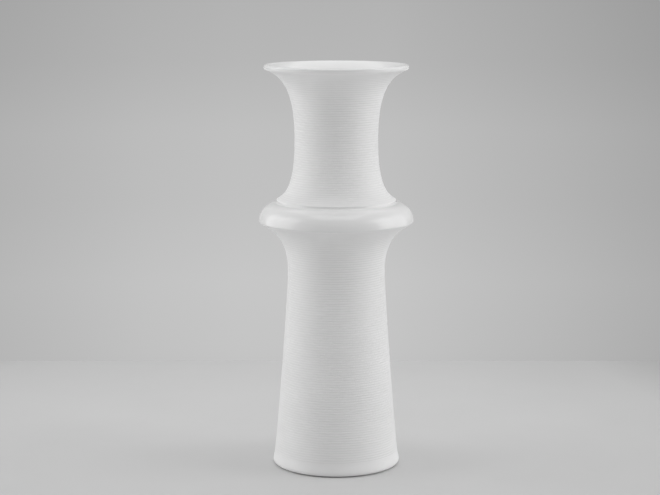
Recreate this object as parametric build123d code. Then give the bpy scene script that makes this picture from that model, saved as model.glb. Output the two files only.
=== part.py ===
from build123d import *
from math import asin, copysign, cos, degrees, radians, sin, tan
import os

# Trumpet vase in white porcelain: a ribbed tapering column, a glazed quarter-round collar and a ribbed
# trumpet neck. The three sections are luted together with slip, and the inside, lip and collar are glazed.
# Millimetres, +Z up, origin on the table in the middle of the foot.

# Thicknesses that all sections share
wall = 3.8
glaze = 0.3
lute = 0.4

# Turned ribs: spacing along the surface, and depth of the valley between two of them
rib_pitch = 1.8
rib_depth = 0.15

# Foot: a small bead that stands proud of the plain band above it, held off the table by a narrower ring
foot_proud = 1.2
foot_height = 2.8
foot_gap = 0.8
foot_round = 2.2
foot_easing = 2.2
foot_ledge = 3.5
foot_ring_width = 5.0
foot_recess = 2.0
floor_thickness = 5.5
floor_round = 8.0

# Column: the top of its plain band, its waist, and the flare from there to the collar
# A lean is in degrees from upright, and a pull is how far a curve holds its direction, as a share of its run
band_radius = 46.3
band_rise = 6.8
taper_lean = 5.8
taper_waist_pull = 0.084
taper_foot_pull = 0.295
taper_plain = 1.0
body_waist_radius = 36.25
body_waist_height = 145.9
flare_rise = 39.2
flare_lean = 62.6
flare_waist_pull = 0.385
flare_rim_pull = 0.472
flare_plain = 2.0

# Collar: its round over the glaze, the glaze that pools in the corner with the neck, its lower edge under the
# glaze, and the seat for the neck
collar_round = 13.4
glaze_pool = 1.8
collar_edge_round = 1.3
seat_trim = 0.3
rebate_depth = 1.6

# Neck: its plain foot edge, its waist with a straight throat inside, and the trumpet up to the lip,
# which stands proud of the foot edge
neck_foot_radius = 44.3
neck_foot_width = 5.4
neck_foot_round = 0.5
neck_spigot_width = 2.1
neck_edge_rise = 2.63
neck_lean = 56.5
neck_waist_pull = 0.817
neck_foot_pull = 0.137
neck_plain = 1.0
neck_waist_radius = 31.0
neck_waist_rise = 44.27
throat_length = 14.0
trumpet_rise = 55.8
trumpet_lean = 68.9
trumpet_waist_pull = 0.635
trumpet_lip_pull = 0.279
trumpet_plain = 4.0
lip_proud = 9.5
lip_round = 2.1

# Gap below which two ends count as one point
touching = 1e-6


def point(radius, level):
    return Vector(radius, level)


def polar(centre, radius, angle):
    return centre + Vector(cos(radians(angle)), sin(radians(angle))) * radius


def bell(waist, rim, lean, waist_pull, rim_pull):
    """Flare that leaves the waist upright and reaches the rim leaning this far from upright."""
    rise = rim.Y - waist.Y
    reach = (rim - waist).length
    way = Vector(sin(radians(lean)), copysign(cos(radians(lean)), rise))
    return Bezier(waist, waist + Vector(0, waist_pull * rise), rim - way * (rim_pull * reach), rim)


def valley(curve, share):
    """Point on a flare, sunk below its surface by the depth of a rib."""
    way = curve % share
    inward = Vector(-abs(way.Y), copysign(way.X, way.Y))
    return (curve @ share) + inward * rib_depth


def ribs(curve, plain):
    """Ribs along a flare from its waist, one bowed arc each, and then its plain margin."""
    ribbed = 1 - plain / curve.length
    count = round(ribbed * curve.length / rib_pitch)
    step = ribbed / count
    arcs = []
    for k in range(count):
        crest = curve @ ((k + 0.5) * step)
        arcs.append(ThreePointArc(valley(curve, k * step), crest, valley(curve, (k + 1) * step)))
    return arcs + [curve.trim(ribbed, 1)]


def section(*pieces):
    """Half section bounded by these curves and points in turn, with straight lines between them."""
    start = end = pieces[0]
    edges = []
    for piece in pieces[1:]:
        if isinstance(piece, Vector):
            near = far = piece
        else:
            ends = [piece @ 0, piece @ 1]
            near, far = sorted(ends, key=lambda spot: (spot - end).length)
            edges.append(piece)
        if (near - end).length > touching:
            edges.append(Line(end, near))
        end = far
    edges.append(Line(end, start))
    return make_face(edges)


def turn(face):
    return revolve(Plane.XZ * face, Axis.Z)


# Radii that follow from the sizes above
foot_radius = band_radius + foot_proud
foot_ring_radius = foot_radius - foot_ledge
collar_radius = neck_foot_radius + collar_round
collar_bore = collar_radius - glaze - wall
spigot_radius = collar_bore - lute
collar_hole_radius = neck_foot_radius - neck_foot_width
neck_spigot_radius = collar_hole_radius + neck_spigot_width
rebate_radius = neck_spigot_radius + lute
lip_radius = neck_foot_radius + lip_proud

# Levels, from the table up
band_height = foot_height + band_rise
floor_height = foot_recess + floor_thickness
collar_height = body_waist_height + flare_rise
collar_top = collar_height + collar_round - glaze
ceiling = collar_top - wall
seat = collar_top - seat_trim
rebate_floor = seat - rebate_depth
neck_foot_height = seat + neck_edge_rise
neck_waist_height = neck_foot_height + neck_waist_rise
lip_height = neck_waist_height + trumpet_rise - lip_round

# Points that two or more pieces share
band_top = point(band_radius, band_height)
body_waist = point(body_waist_radius, body_waist_height)
collar_edge_centre = point(collar_radius - glaze - collar_edge_round, collar_height)
collar_centre = point(collar_radius - collar_round, collar_height)
flare_rim = polar(collar_edge_centre, collar_edge_round + glaze, -flare_lean)
neck_edge_centre = point(neck_foot_radius - neck_foot_round, neck_foot_height)
neck_rim = polar(neck_edge_centre, neck_foot_round, neck_lean)
neck_waist = point(neck_waist_radius, neck_waist_height)
lip_centre = point(lip_radius - lip_round, lip_height)

# Joint under the collar: the column's landing, and the collar's lower face a bed of slip above it
landing = flare_rim.Y
collar_bottom = landing + lute


def floor_corner(inset):
    """Rounded corner between the floor and the inside of the column, from the floor upwards."""
    bottom = floor_height + floor_round
    side = band_radius - (bottom - band_height) * tan(radians(taper_lean))
    centre = point(side - wall / cos(radians(taper_lean)) - floor_round, bottom)
    return CenterArc(centre, floor_round - inset, -90, 90 + taper_lean)


def body_inside(inset):
    """Inside of the column, from the floor up to the collar."""
    corner = floor_corner(inset)
    waist = body_waist - Vector(wall + inset, 0)
    rim = polar(point(spigot_radius, collar_height), inset, 180 - flare_lean)
    taper = bell(waist, corner @ 1, taper_lean, taper_waist_pull, taper_foot_pull)
    flare = bell(waist, rim, flare_lean, flare_waist_pull, flare_rim_pull)
    return [corner, taper, flare]


def collar_inside(inset):
    """Inside of the collar, from its skirt up to the edge of its hole."""
    radius = collar_round - glaze - wall - inset
    start = degrees(asin(inset * sin(radians(flare_lean)) / radius))
    round_over = CenterArc(collar_centre, radius, start, 90 - start)
    return [round_over, point(collar_hole_radius - inset, ceiling - inset)]


def neck_inside(inset):
    """Inside of the neck, from the collar's hole up to the lip."""
    lean = radians(neck_lean)
    past = polar(neck_rim, -wall, neck_lean)
    level = past.Y + (past.X - collar_hole_radius) / tan(lean) - inset * tan(lean / 2)
    foot = point(collar_hole_radius - inset, level)
    low = neck_waist - Vector(wall + inset, throat_length / 2)
    high = low + Vector(0, throat_length)
    rim = polar(lip_centre, lip_round - glaze + inset, 180 - trumpet_lean)
    flare = bell(low, foot, neck_lean, neck_waist_pull, neck_foot_pull)
    trumpet = bell(high, rim, trumpet_lean, trumpet_waist_pull, trumpet_lip_pull)
    return [flare, Line(low, high), trumpet]


def edge_fall(coat):
    """How far round the collar's lower edge, with this much coat on it, its lower face comes, in degrees."""
    return degrees(asin((collar_height - collar_bottom) / (collar_edge_round + coat)))


def collar_outside(coat):
    """Outside of the collar with this much coat: the arc of its lower edge, and the size of its round."""
    fall = edge_fall(coat)
    return CenterArc(collar_edge_centre, collar_edge_round + coat, -fall, fall), collar_round - glaze + coat


def lower_body():
    """Column with its foot ring, foot bead, plain band, ribs, and the spigot that centres the collar."""
    bead = point(foot_radius, foot_height)
    under = degrees(asin((foot_height - foot_gap) / foot_round))
    down = polar(point(0, 0), foot_easing, taper_lean - 90)
    easing = Bezier(bead, bead + Vector(0, foot_easing), band_top + down, band_top)
    taper = bell(body_waist, band_top, taper_lean, taper_waist_pull, taper_foot_pull)
    flare = bell(body_waist, flare_rim, flare_lean, flare_waist_pull, flare_rim_pull)
    recess_radius = foot_ring_radius - foot_ring_width
    return turn(section(
        point(0, foot_recess),
        point(recess_radius, foot_recess),
        point(recess_radius, 0),
        point(foot_ring_radius, 0),
        point(foot_ring_radius, foot_gap),
        CenterArc(bead - Vector(foot_round, 0), foot_round, -under, under),
        easing,
        *reversed(ribs(taper, taper_plain)),
        *ribs(flare, flare_plain),
        point(spigot_radius, landing),
        point(spigot_radius, collar_height),
        *reversed(body_inside(0)),
        point(0, floor_height),
    ))


def body_lute():
    """Slip in the joint under the collar, L-shaped round the column's spigot and wiped flush outside."""
    return turn(section(
        point(spigot_radius, landing),
        CenterArc(collar_edge_centre, collar_edge_round + glaze, -flare_lean, flare_lean - edge_fall(glaze)),
        point(collar_bore, collar_bottom),
        point(collar_bore, collar_height),
        point(spigot_radius, collar_height),
    ))


def collar():
    """Hollow ring with a skirt round the column's spigot and a rebated seat for the neck."""
    edge, outer_round = collar_outside(0)
    top = degrees(asin((seat - collar_height) / outer_round))
    return turn(section(
        point(collar_bore, collar_bottom),
        edge,
        CenterArc(collar_centre, outer_round, 0, top),
        point(rebate_radius, seat),
        point(rebate_radius, rebate_floor),
        point(collar_hole_radius, rebate_floor),
        *reversed(collar_inside(0)),
    ))


def collar_glaze():
    """Coat over the collar, which pools in the corner with the foot of the neck."""
    inner_edge, inner_round = collar_outside(0)
    outer_edge, outer_round = collar_outside(glaze)
    top = degrees(asin((seat - collar_height) / inner_round))
    crown = 90 - degrees(asin(glaze_pool / (outer_round + glaze_pool)))
    pool_centre = polar(collar_centre, outer_round + glaze_pool, crown)
    return turn(section(
        inner_edge @ 0,
        inner_edge,
        CenterArc(collar_centre, inner_round, 0, top),
        point(neck_foot_radius, seat),
        point(neck_foot_radius, pool_centre.Y),
        CenterArc(pool_centre, glaze_pool, 180, crown),
        CenterArc(collar_centre, outer_round, 0, crown),
        outer_edge,
    ))


def neck_lute():
    """Slip in the joint under the neck, Z-shaped through the collar's rebate."""
    return turn(section(
        point(collar_hole_radius, rebate_floor),
        point(rebate_radius, rebate_floor),
        point(rebate_radius, seat),
        point(neck_foot_radius, seat),
        point(neck_foot_radius, seat + lute),
        point(neck_spigot_radius, seat + lute),
        point(neck_spigot_radius, rebate_floor + lute),
        point(collar_hole_radius, rebate_floor + lute),
    ))


def trumpet_neck():
    """Neck with its spigot in the collar's rebate, ribs down and up from its waist, and the bare lip."""
    lip_bare = lip_round - glaze
    lip_start = polar(lip_centre, lip_bare, -trumpet_lean)
    foot = bell(neck_waist, neck_rim, neck_lean, neck_waist_pull, neck_foot_pull)
    trumpet = bell(neck_waist, lip_start, trumpet_lean, trumpet_waist_pull, trumpet_lip_pull)
    return turn(section(
        point(collar_hole_radius, rebate_floor + lute),
        point(neck_spigot_radius, rebate_floor + lute),
        point(neck_spigot_radius, seat + lute),
        point(neck_foot_radius, seat + lute),
        CenterArc(neck_edge_centre, neck_foot_round, 0, neck_lean),
        *reversed(ribs(foot, neck_plain)),
        *ribs(trumpet, trumpet_plain),
        CenterArc(lip_centre, lip_bare, -trumpet_lean, 180),
        *reversed(neck_inside(0)),
    ))


def lining_glaze():
    """Coat over the whole inside, over the lip and down to its widest circle."""
    lip_bare = lip_round - glaze
    turned = 180 - trumpet_lean
    return turn(section(
        point(0, floor_height),
        *body_inside(0),
        *collar_inside(0),
        *neck_inside(0),
        CenterArc(lip_centre, lip_bare, 0, turned),
        CenterArc(lip_centre, lip_round, 0, turned),
        *reversed(neck_inside(glaze)),
        *reversed(collar_inside(glaze)),
        *reversed(body_inside(glaze)),
        point(0, floor_height + glaze),
    ))


os.makedirs("parts", exist_ok=True)
for piece in (lower_body, body_lute, collar, collar_glaze, neck_lute, trumpet_neck, lining_glaze):
    export_step(piece(), f"parts/{piece.__name__}.step")
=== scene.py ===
import bpy
import random
from math import asin, copysign, cos, degrees, hypot, pi, radians, sin, tan
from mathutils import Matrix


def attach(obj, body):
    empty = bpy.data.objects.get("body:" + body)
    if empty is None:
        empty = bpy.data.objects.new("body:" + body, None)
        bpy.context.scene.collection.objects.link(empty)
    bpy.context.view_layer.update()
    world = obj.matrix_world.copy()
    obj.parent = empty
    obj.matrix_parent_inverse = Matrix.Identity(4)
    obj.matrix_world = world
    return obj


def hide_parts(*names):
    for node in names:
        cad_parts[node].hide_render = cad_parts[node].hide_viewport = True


# Looks of the trumpet vase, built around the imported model. Outlines are (radius, level) in millimetres about
# the Z axis, with the sizes of the solids repeated here, and are scaled to metres where a mesh is made.
# Angles are in degrees.

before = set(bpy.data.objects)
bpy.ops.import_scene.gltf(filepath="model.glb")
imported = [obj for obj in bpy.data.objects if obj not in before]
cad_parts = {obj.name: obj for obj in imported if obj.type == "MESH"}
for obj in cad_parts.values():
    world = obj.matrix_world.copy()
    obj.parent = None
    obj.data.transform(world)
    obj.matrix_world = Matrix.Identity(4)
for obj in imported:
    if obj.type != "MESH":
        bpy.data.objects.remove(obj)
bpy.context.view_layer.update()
mm = 0.001
chance = random.Random(7)

# Steps round the axis, and the angle from which an edge is shaded sharp
segments = 128
sharp_angle = 50

# Thicknesses that all sections share
wall = 3.8
glaze = 0.3
lute = 0.4

# Turned ribs: points along each of them, how far its depth strays as a share of it, and the share of a plain
# margin that has no points beside the last rib
rib_pitch = 1.8
rib_depth = 0.15
rib_samples = 5
rib_unevenness = 0.12
margin_skip = 0.125

# Foot and floor
foot_proud = 1.2
foot_height = 2.8
foot_gap = 0.8
foot_round = 2.2
foot_easing = 2.2
foot_ledge = 3.5
foot_ring_width = 5.0
foot_ring_chamfer = 0.2
foot_recess = 2.0
floor_thickness = 5.5
floor_round = 8.0

# Column
# A lean is measured from upright, and the pulls are how far a curve holds its direction at its waist and at
# its rim, as shares of its rise and of its reach
band_radius = 46.3
band_rise = 6.8
taper_lean = 5.8
taper_pulls = (0.084, 0.295)
taper_plain = 1.0
body_waist_radius = 36.25
body_waist_height = 145.9
flare_rise = 39.2
flare_lean = 62.6
flare_pulls = (0.385, 0.472)
flare_plain = 2.0

# Collar, and the glaze that pools in its corner with the neck
collar_round = 13.4
glaze_pool = 1.8
collar_edge_round = 1.3
seat_trim = 0.3
rebate_depth = 1.6

# Neck
neck_foot_radius = 44.3
neck_foot_width = 5.4
neck_foot_round = 0.5
neck_spigot_width = 2.1
neck_edge_rise = 2.63
neck_lean = 56.5
neck_pulls = (0.817, 0.137)
neck_plain = 1.0
neck_waist_radius = 31.0
neck_waist_rise = 44.27
throat_length = 14.0
trumpet_rise = 55.8
trumpet_lean = 68.9
trumpet_pulls = (0.635, 0.279)
trumpet_plain = 4.0

# Lip: the steps of its round, and the angles where its glaze starts and over which it grows to full thickness
lip_proud = 9.5
lip_round = 2.1
lip_steps = 24
feather_start = -1
feather_width = 35

# Radii and levels that follow
foot_radius = band_radius + foot_proud
foot_ring_radius = foot_radius - foot_ledge
collar_radius = neck_foot_radius + collar_round
spigot_radius = collar_radius - glaze - wall - lute
collar_hole_radius = neck_foot_radius - neck_foot_width
neck_spigot_radius = collar_hole_radius + neck_spigot_width
lip_radius = neck_foot_radius + lip_proud
lip_bare = lip_round - glaze
band_height = foot_height + band_rise
floor_height = foot_recess + floor_thickness
collar_height = body_waist_height + flare_rise
collar_top = collar_height + collar_round - glaze
ceiling = collar_top - wall
seat = collar_top - seat_trim
rebate_floor = seat - rebate_depth
neck_foot_height = seat + neck_edge_rise
neck_waist_height = neck_foot_height + neck_waist_rise
lip_height = neck_waist_height + trumpet_rise - lip_round


# Outlines: the last number of an arc, a curve or a flare is how many steps it is drawn in

def polar(centre, radius, angle):
    """Point at this radius and angle from a centre."""
    return (centre[0] + radius * cos(radians(angle)), centre[1] + radius * sin(radians(angle)))


def arc(centre, radius, start, end, count):
    """Points along an arc from one angle to another."""
    return [polar(centre, radius, start + (end - start) * k / count) for k in range(count + 1)]


def bezier(a, b, c, d, count):
    """Points along the cubic curve that these four control points give."""
    line = []
    for k in range(count + 1):
        t = k / count
        shares = ((1 - t) ** 3, 3 * t * (1 - t) ** 2, 3 * t * t * (1 - t), t ** 3)
        line.append(tuple(sum(w * p[i] for w, p in zip(shares, (a, b, c, d))) for i in (0, 1)))
    return line


def bell(waist, rim, lean, pulls, count):
    """Flare that leaves the waist upright and reaches the rim leaning this far from upright."""
    rise = rim[1] - waist[1]
    reach = hypot(rim[0] - waist[0], rise) * pulls[1]
    way = (sin(radians(lean)), copysign(cos(radians(lean)), rise))
    upright = (waist[0], waist[1] + pulls[0] * rise)
    leaning = (rim[0] - way[0] * reach, rim[1] - way[1] * reach)
    return bezier(waist, upright, leaning, rim, count)


def ribs(line, plain):
    """Ribs along a dense line from its waist, each bowed and a little uneven, and then its plain margin.

    A third value beside radius and level is 0 on the crest of a rib and 1 in the valley between two, and masks
    the painted shade in the valleys.
    """
    lengths = [0.0]
    for a, b in zip(line, line[1:]):
        lengths.append(lengths[-1] + hypot(b[0] - a[0], b[1] - a[1]))
    ribbed = lengths[-1] - plain
    count = round(ribbed / rib_pitch)
    strays = [chance.uniform(-rib_unevenness, rib_unevenness) for _ in range(count + 1)]
    depths = [rib_depth * (1 + stray) for stray in strays]
    outline = []
    piece = 0
    for k in range(count * rib_samples + 1):
        run = ribbed * k / (count * rib_samples)
        while lengths[piece + 1] < run and piece + 2 < len(lengths):
            piece += 1
        share = (run - lengths[piece]) / (lengths[piece + 1] - lengths[piece])
        a, b = line[piece], line[piece + 1]
        way = (b[0] - a[0], b[1] - a[1])
        size = hypot(*way)
        rib, place = divmod(k, rib_samples)
        bow = 2 * place / rib_samples - 1
        depth = depths[rib if bow < 0 else rib + 1] * bow * bow
        outline.append((
            a[0] + way[0] * share - abs(way[1]) / size * depth,
            a[1] + way[1] * share + copysign(way[0], way[1]) / size * depth,
            bow * bow,
        ))
    margin = ribbed + plain * margin_skip
    return outline + [p for p, run in zip(line, lengths) if run > margin]


collar_edge_centre = (collar_radius - glaze - collar_edge_round, collar_height)
collar_centre = (collar_radius - collar_round, collar_height)
flare_rim = polar(collar_edge_centre, collar_edge_round + glaze, -flare_lean)
neck_edge_centre = (neck_foot_radius - neck_foot_round, neck_foot_height)
neck_rim = polar(neck_edge_centre, neck_foot_round, neck_lean)
lip_centre = (lip_radius - lip_round, lip_height)
landing = flare_rim[1]
collar_bottom = landing + lute


def column_inside(inset):
    """Inside of the column from the floor up to the collar, this far in from the bare porcelain."""
    bottom = floor_height + floor_round
    side = band_radius - (bottom - band_height) * tan(radians(taper_lean))
    corner_centre = (side - wall / cos(radians(taper_lean)) - floor_round, bottom)
    corner = arc(corner_centre, floor_round - inset, -90, taper_lean, 12)
    waist = (body_waist_radius - wall - inset, body_waist_height)
    rim = polar((spigot_radius, collar_height), inset, 180 - flare_lean)
    taper = bell(waist, corner[-1], taper_lean, taper_pulls, 30)
    flare = bell(waist, rim, flare_lean, flare_pulls, 30)
    return corner + taper[-2::-1] + flare[1:]


def collar_inside(inset):
    """Inside of the collar, up to the edge of its hole."""
    hollow = collar_round - glaze - wall - inset
    start = degrees(asin(inset * sin(radians(flare_lean)) / hollow))
    return arc(collar_centre, hollow, start, 90, 16) + [(collar_hole_radius - inset, ceiling - inset)]


def neck_inside(inset):
    """Inside of the neck, from the collar's hole up to the lip."""
    lean = radians(neck_lean)
    past = polar(neck_rim, -wall, neck_lean)
    level = past[1] + (past[0] - collar_hole_radius) / tan(lean) - inset * tan(lean / 2)
    low = (neck_waist_radius - wall - inset, neck_waist_height - throat_length / 2)
    high = (low[0], low[1] + throat_length)
    flare = bell(low, (collar_hole_radius - inset, level), neck_lean, neck_pulls, 30)
    lip = polar(lip_centre, lip_bare + inset, 180 - trumpet_lean)
    return flare[::-1] + bell(high, lip, trumpet_lean, trumpet_pulls, 40)


def column_outline():
    """Column from the middle of its recess, over the foot ring, up its outside and down its inside."""
    waist = (body_waist_radius, body_waist_height)
    band_top = (band_radius, band_height)
    bead = (foot_radius, foot_height)
    under = degrees(asin((foot_height - foot_gap) / foot_round))
    down = polar(band_top, foot_easing, taper_lean - 90)
    taper = bell(waist, band_top, taper_lean, taper_pulls, 900)
    flare = bell(waist, flare_rim, flare_lean, flare_pulls, 500)
    recess_radius = foot_ring_radius - foot_ring_width
    return (
        [(0, foot_recess), (recess_radius, foot_recess), (recess_radius, foot_ring_chamfer)]
        + [(recess_radius + foot_ring_chamfer, 0), (foot_ring_radius - foot_ring_chamfer, 0)]
        + [(foot_ring_radius, foot_ring_chamfer), (foot_ring_radius, foot_gap)]
        + arc((foot_radius - foot_round, foot_height), foot_round, -under, 0, 8)
        + bezier(bead, (bead[0], bead[1] + foot_easing), down, band_top, 16)[1:-1]
        + ribs(taper, taper_plain)[::-1]
        + ribs(flare, flare_plain)[1:]
        + [(spigot_radius, landing)]
        + column_inside(0)[::-1]
        + [(0, floor_height)]
    )


def neck_outline():
    """Neck from its spigot up its outside, over the lip and down its inside."""
    waist = (neck_waist_radius, neck_waist_height)
    lip_start = polar(lip_centre, lip_bare, -trumpet_lean)
    foot = bell(waist, neck_rim, neck_lean, neck_pulls, 500)
    trumpet = bell(waist, lip_start, trumpet_lean, trumpet_pulls, 600)
    return (
        [(collar_hole_radius, rebate_floor + lute), (neck_spigot_radius, rebate_floor + lute)]
        + [(neck_spigot_radius, seat + lute), (neck_foot_radius, seat + lute)]
        + arc(neck_edge_centre, neck_foot_round, 0, neck_lean, 8)[:-1]
        + ribs(foot, neck_plain)[::-1]
        + ribs(trumpet, trumpet_plain)[1:-1]
        + arc(lip_centre, lip_bare, -trumpet_lean, 180 - trumpet_lean, lip_steps)
        + neck_inside(0)[-2::-1]
    )


def collar_glaze_outline():
    """Coat from the collar's lower edge up to its pool under the neck, and back along the porcelain."""
    fall = degrees(asin((collar_height - collar_bottom) / (collar_edge_round + glaze)))
    inner_fall = degrees(asin((collar_height - collar_bottom) / collar_edge_round))
    seat_angle = degrees(asin((seat - collar_height) / (collar_round - glaze)))
    tilt = degrees(asin(glaze_pool / (collar_round + glaze_pool)))
    pool_centre = polar(collar_centre, collar_round + glaze_pool, 90 - tilt)
    return (
        arc(collar_edge_centre, collar_edge_round + glaze, -fall, 0, 10)
        + arc(collar_centre, collar_round, 0, 90 - tilt, 60)[1:]
        + arc(pool_centre, glaze_pool, 270 - tilt, 180, 10)[1:]
        + [(neck_foot_radius, seat)]
        + arc(collar_centre, collar_round - glaze, seat_angle, 0, 40)
        + arc(collar_edge_centre, collar_edge_round, 0, -inner_fall, 6)[1:]
    )


def lining_outline():
    """Coat over the inside and the lip, which feathers out on the lip's outer edge."""
    over = 180 - trumpet_lean
    bare = column_inside(0) + collar_inside(0) + neck_inside(0)
    face = column_inside(glaze) + collar_inside(glaze) + neck_inside(glaze)
    lip = []
    for k in range(lip_steps + 1):
        angle = over * k / lip_steps
        fade = min(1, (angle - feather_start) / feather_width)
        lip.append(polar(lip_centre, lip_bare + glaze * fade * (2 - fade), angle))
    return (
        [(0, floor_height)] + bare[:-1]
        + arc(lip_centre, lip_bare, over, 0, lip_steps) + lip
        + face[-2::-1] + [(0, floor_height + glaze)]
    )


# Meshes

def turn(name, outline, cad_node, material):
    """Anticlockwise outline turned about the Z axis, with faces that look outwards, in place of a node."""
    points = []
    faces = []
    rings = []
    grooves = []
    for radius, level, *valley in outline:
        count = segments if radius > 0 else 1
        rings.append(range(len(points), len(points) + count))
        grooves += (valley or [0]) * count
        for k in range(count):
            angle = 2 * pi * k / segments
            points.append((radius * cos(angle) * mm, radius * sin(angle) * mm, level * mm))
    pairs = list(zip(rings, rings[1:]))
    if len(rings[0]) > 1:
        pairs.append((rings[-1], rings[0]))
    for low, high in pairs:
        for k in range(segments):
            corners = [low[k % len(low)], low[(k + 1) % len(low)]]
            corners += [high[(k + 1) % len(high)], high[k % len(high)]]
            faces.append(list(dict.fromkeys(corners)))
    mesh = bpy.data.meshes.new(name)
    mesh.from_pydata(points, [], faces)
    mesh.validate()
    mesh.attributes.new("groove", "FLOAT", "POINT").data.foreach_set("value", grooves)
    mesh.shade_smooth()
    mesh.set_sharp_from_angle(angle=radians(sharp_angle))
    piece = bpy.data.objects.new(name, mesh)
    bpy.context.collection.objects.link(piece)
    mesh.materials.append(material)
    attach(piece, "root")
    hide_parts(cad_node)


# Materials: how strongly the surface bends light, the range that most of a noise's values lie in, and the
# grey of a rib's valley as a share of its crest's, which is painted shade
porcelain_ior = 1.5
noise_low = 0.3
noise_high = 0.7
painted_valley_grey = 0.93


def node(tree, kind, **values):
    """Node with these properties or input values."""
    made = tree.nodes.new(kind)
    for key, value in values.items():
        if hasattr(made, key):
            setattr(made, key, value)
        else:
            made.inputs[key.replace("_", " ")].default_value = value
    return made


def noise(tree, scale, stretch=(1, 1, 1), detail=2):
    """Noise over the piece's own coordinates, in features per metre."""
    place = node(tree, "ShaderNodeTexCoord")
    mapping = node(tree, "ShaderNodeMapping", Scale=stretch)
    made = node(tree, "ShaderNodeTexNoise", Scale=scale, Detail=detail)
    tree.links.new(place.outputs["Object"], mapping.inputs["Vector"])
    tree.links.new(mapping.outputs["Vector"], made.inputs["Vector"])
    return made.outputs["Fac"]


def spread(tree, source, low, high, start=noise_low, end=noise_high):
    """Value that runs from low to high while the source runs from start to end."""
    made = node(tree, "ShaderNodeMapRange", From_Min=start, From_Max=end, To_Min=low, To_Max=high)
    tree.links.new(source, made.inputs["Value"])
    return made.outputs["Result"]


def tint(tree, source, first, second):
    """Neutral white that runs from one grey to another with a noise."""
    made = node(tree, "ShaderNodeValToRGB")
    made.color_ramp.elements[0].position = noise_low
    made.color_ramp.elements[0].color = (first, first, first, 1)
    made.color_ramp.elements[1].position = noise_high
    made.color_ramp.elements[1].color = (second, second, second, 1)
    tree.links.new(source, made.inputs["Fac"])
    return made.outputs["Color"]


def bump(tree, source, distance, below=None):
    """Normals that the source bumps up by this distance, over the bumps below."""
    made = node(tree, "ShaderNodeBump", Strength=1.0, Distance=distance)
    tree.links.new(source, made.inputs["Height"])
    if below:
        tree.links.new(below, made.inputs["Normal"])
    return made.outputs["Normal"]


def surface(name):
    """New material, with its nodes and its main shader."""
    material = bpy.data.materials.new(name)
    material.use_nodes = True
    tree = material.node_tree
    return material, tree, tree.nodes["Principled BSDF"]


def bisque():
    """Unglazed porcelain: matt, a little cloudy, with a fine tooth and turning lines, and painted shade that
    greys the valleys between ribs.
    """
    material, tree, shader = surface("bisque")
    cloud = noise(tree, 30, detail=3)
    lines = noise(tree, 60, stretch=(1, 1, 45))
    tooth = noise(tree, 3500)
    # Painted shade: the base colour is darkened in each rib's valley, where shade falls between the ribs
    groove = node(tree, "ShaderNodeAttribute", attribute_name="groove")
    painted_shade = node(tree, "ShaderNodeVectorMath", operation="SCALE")
    tree.links.new(tint(tree, cloud, 0.87, 0.9), painted_shade.inputs[0])
    tree.links.new(spread(tree, groove.outputs["Fac"], 1, painted_valley_grey, 0, 1), painted_shade.inputs["Scale"])
    tree.links.new(painted_shade.outputs["Vector"], shader.inputs["Base Color"])
    tree.links.new(spread(tree, lines, 0.52, 0.68), shader.inputs["Roughness"])
    tree.links.new(bump(tree, tooth, 0.01 * mm, bump(tree, lines, 0.03 * mm)), shader.inputs["Normal"])
    shader.inputs["IOR"].default_value = porcelain_ior
    return material


def glossy():
    """Clear glaze over white porcelain: smooth and wet-looking, faintly wavy, with a fine orange peel."""
    material, tree, shader = surface("glaze")
    cloud = noise(tree, 40)
    wave = noise(tree, 70, detail=1)
    peel = noise(tree, 900, detail=1)
    tree.links.new(tint(tree, cloud, 0.845, 0.865), shader.inputs["Base Color"])
    tree.links.new(spread(tree, wave, 0.07, 0.12), shader.inputs["Roughness"])
    tree.links.new(bump(tree, peel, 0.002 * mm, bump(tree, wave, 0.04 * mm)), shader.inputs["Normal"])
    shader.inputs["IOR"].default_value = porcelain_ior
    return material


def slip():
    """Fired joining slip: matt and nearly as white as the porcelain, with a coarse grain."""
    material, tree, shader = surface("slip")
    grain = noise(tree, 1200, detail=3)
    tree.links.new(tint(tree, grain, 0.848, 0.878), shader.inputs["Base Color"])
    tree.links.new(spread(tree, grain, 0.6, 0.8), shader.inputs["Roughness"])
    tree.links.new(bump(tree, grain, 0.05 * mm), shader.inputs["Normal"])
    return material


matt = bisque()
wet = glossy()
joint = slip()

# Pieces
turn("column", column_outline(), "lower_body", matt)
turn("neck", neck_outline(), "trumpet_neck", matt)
turn("collar_coat", collar_glaze_outline(), "collar_glaze", wet)
turn("lining_coat", lining_outline(), "lining_glaze", wet)
for name, material in (("collar", matt), ("body_lute", joint), ("neck_lute", joint)):
    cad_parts[name].data.materials.clear()
    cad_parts[name].data.materials.append(material)


# Stage: a pale table with straight edges, before a grey backdrop that the world paints
# Metres from here on. The fall is how much faster the painted shade darkens the table sideways towards its
# back
table_back = 0.351
table_front = -0.9
table_reach = 3.0
table_roughness = 0.7
painted_corner_fall = 1.2

# Greys of the table from front to back and from left to right, each at its place. They are painted light and
# shade:
# palest in front, lifted around the vase where painted light thins its shadow, and darker towards the sides
painted_table_along = [
    (-0.45, 1), (-0.13, 0.62), (0.0, 0.655), (0.05, 0.67), (0.1, 0.668), (0.2, 0.663), (0.35, 0.645),
]
painted_table_across = [
    (-0.5, 0.75), (-0.42, 0.9), (-0.33, 0.945), (-0.1, 1),
    (0.08, 1), (0.24, 0.925), (0.34, 0.877), (0.5, 0.6),
]

# Even light of the world, and greys of the backdrop upwards and from left to right, each at its direction
world_light = 0.36
backdrop_up = [
    (-0.216, 0.545), (-0.21, 0.555), (-0.173, 0.568), (-0.13, 0.532),
    (-0.092, 0.525), (-0.055, 0.473), (-0.022, 0.452), (0.12, 0.54),
]
backdrop_across = [
    (-0.5, 0.83), (-0.33, 1.1), (-0.18, 0.84), (-0.1, 0.96), (-0.05, 1),
    (0.03, 1), (0.12, 0.86), (0.18, 0.75), (0.33, 1.1), (0.5, 0.83),
]

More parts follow.
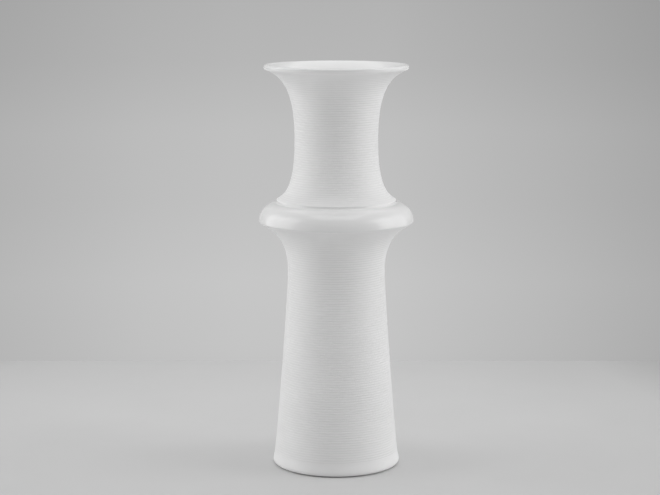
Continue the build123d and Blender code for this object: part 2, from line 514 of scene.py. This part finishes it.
# Share of the backdrop that reflections see in the room on the camera's side, and the directions where that
# room ends and the full backdrop starts
room_share = 0.3
room_end = -0.6
backdrop_start = 0.1

# Softboxes at the sides and above, and the height that they are aimed at
aim_height = 0.15
side_distance = 1.3
side_width = 0.7
side_height = 1.3
top_distance = 1.25
top_width = 1.0

# Camera, which looks down by its dip. Film and lens are in millimetres
film_width = 36
focal_length = 100
camera_place = (-0.0047, -1.35235, 0.3775)
camera_dip = 8.96


def greys(tree, source, stops):
    """Grey that follows a coordinate through these stops, which lie between -0.5 and 0.5."""
    middle = 0.5
    lift = node(tree, "ShaderNodeMath", operation="ADD")
    lift.inputs[1].default_value = middle
    ramp = node(tree, "ShaderNodeValToRGB")
    while len(ramp.color_ramp.elements) < len(stops):
        ramp.color_ramp.elements.new(middle)
    for element, (place, grey) in zip(ramp.color_ramp.elements, stops):
        element.position = place + middle
        element.color = (grey, grey, grey, 1)
    tree.links.new(source, lift.inputs[0])
    tree.links.new(lift.outputs["Value"], ramp.inputs["Fac"])
    return ramp.outputs["Color"]


def combine(tree, operation, first, second):
    """One value from two."""
    made = node(tree, "ShaderNodeMath", operation=operation)
    tree.links.new(first, made.inputs[0])
    tree.links.new(second, made.inputs[1])
    return made.outputs["Value"]


def floor():
    """Pale table with painted light and shade: palest nearest the camera, out of the picture, where painted
    light stands in for more light thrown up onto the vase, and darker with painted shade at its sides and far
    corners.
    """
    corners = [(-table_reach, table_front, 0), (table_reach, table_front, 0)]
    corners += [(table_reach, table_back, 0), (-table_reach, table_back, 0)]
    mesh = bpy.data.meshes.new("floor")
    mesh.from_pydata(corners, [], [(0, 1, 2, 3)])
    piece = bpy.data.objects.new("floor", mesh)
    bpy.context.collection.objects.link(piece)
    material, tree, shader = surface("floor")
    place = node(tree, "ShaderNodeTexCoord")
    split = node(tree, "ShaderNodeSeparateXYZ")
    tree.links.new(place.outputs["Object"], split.inputs["Vector"])
    aside = node(tree, "ShaderNodeMath", operation="MULTIPLY_ADD")
    aside.inputs[1].default_value = painted_corner_fall
    tree.links.new(combine(tree, "MULTIPLY", split.outputs["X"], split.outputs["Y"]), aside.inputs[0])
    tree.links.new(split.outputs["X"], aside.inputs[2])
    # Painted light and shade: the table's greys follow its place on the table, not its material
    along = greys(tree, split.outputs["Y"], painted_table_along)
    across = greys(tree, aside.outputs["Value"], painted_table_across)
    shade = combine(tree, "MULTIPLY", along, across)
    cloud = spread(tree, noise(tree, 12), 0.99, 1.01)
    tree.links.new(combine(tree, "MULTIPLY", shade, cloud), shader.inputs["Base Color"])
    shader.inputs["Roughness"].default_value = table_roughness
    mesh.materials.append(material)


def backdrop():
    """World: an even grey light, and for the eye and for reflections a backdrop.

    In the picture the backdrop is palest low in its middle, and it is pale again beyond the picture's sides.
    Reflections also see the darker room on the camera's side.
    """
    world = bpy.data.worlds.new("studio")
    bpy.context.scene.world = world
    world.use_nodes = True
    tree = world.node_tree
    plain = tree.nodes["Background"]
    place = node(tree, "ShaderNodeTexCoord")
    split = node(tree, "ShaderNodeSeparateXYZ")
    path = node(tree, "ShaderNodeLightPath")
    seen = node(tree, "ShaderNodeBackground")
    mix = node(tree, "ShaderNodeMixShader")
    tree.links.new(place.outputs["Generated"], split.inputs["Vector"])
    plain.inputs["Color"].default_value = (world_light, world_light, world_light, 1)
    up = greys(tree, split.outputs["Z"], backdrop_up)
    across = greys(tree, split.outputs["X"], backdrop_across)
    share = spread(tree, split.outputs["Y"], room_share, 1, room_end, backdrop_start)
    share = combine(tree, "MAXIMUM", share, path.outputs["Is Camera Ray"])
    shade = combine(tree, "MULTIPLY", up, across)
    tree.links.new(combine(tree, "MULTIPLY", shade, share), seen.inputs["Color"])
    either = combine(tree, "MAXIMUM", path.outputs["Is Camera Ray"], path.outputs["Is Glossy Ray"])
    tree.links.new(either, mix.inputs["Fac"])
    tree.links.new(plain.outputs["Background"], mix.inputs[1])
    tree.links.new(seen.outputs["Background"], mix.inputs[2])
    tree.links.new(mix.outputs["Shader"], tree.nodes["World Output"].inputs["Surface"])


def softbox(name, azimuth, elevation, distance, width, height, power):
    """Area lamp aimed at the middle of the vase. Azimuth 0 is the camera's side, and turns to the right."""
    lamp = bpy.data.lights.new(name, "AREA")
    lamp.shape = "RECTANGLE"
    lamp.size = width
    lamp.size_y = height
    lamp.energy = power
    holder = bpy.data.objects.new(name, lamp)
    bpy.context.collection.objects.link(holder)
    turned = radians(azimuth)
    raised = radians(elevation)
    across = distance * cos(raised)
    up = aim_height + distance * sin(raised)
    holder.location = (across * sin(turned), -across * cos(turned), up)
    holder.rotation_euler = (pi / 2 - raised, 0, turned)


def camera():
    """Camera in front of the vase and a little above it, as in the photograph."""
    lens = bpy.data.cameras.new("camera")
    lens.sensor_width = film_width
    lens.lens = focal_length
    holder = bpy.data.objects.new("camera", lens)
    bpy.context.collection.objects.link(holder)
    holder.location = camera_place
    holder.rotation_euler = (radians(90 - camera_dip), 0, 0)
    bpy.context.scene.camera = holder


floor()
backdrop()
softbox("left", -80, 20, side_distance, side_width, side_height, 4.4)
softbox("left_back", -110, 10, side_distance, side_width, side_height, 4)
softbox("right", 80, 20, side_distance, side_width, side_height, 6)
softbox("right_back", 110, 10, side_distance, side_width, side_height, 2.75)
softbox("top", 0, 80, top_distance, top_width, 0.9, 3.7)
softbox("top_back", 180, 60, top_distance, top_width, 0.8, 1.6)
camera()
bpy.context.scene.view_settings.view_transform = "Standard"
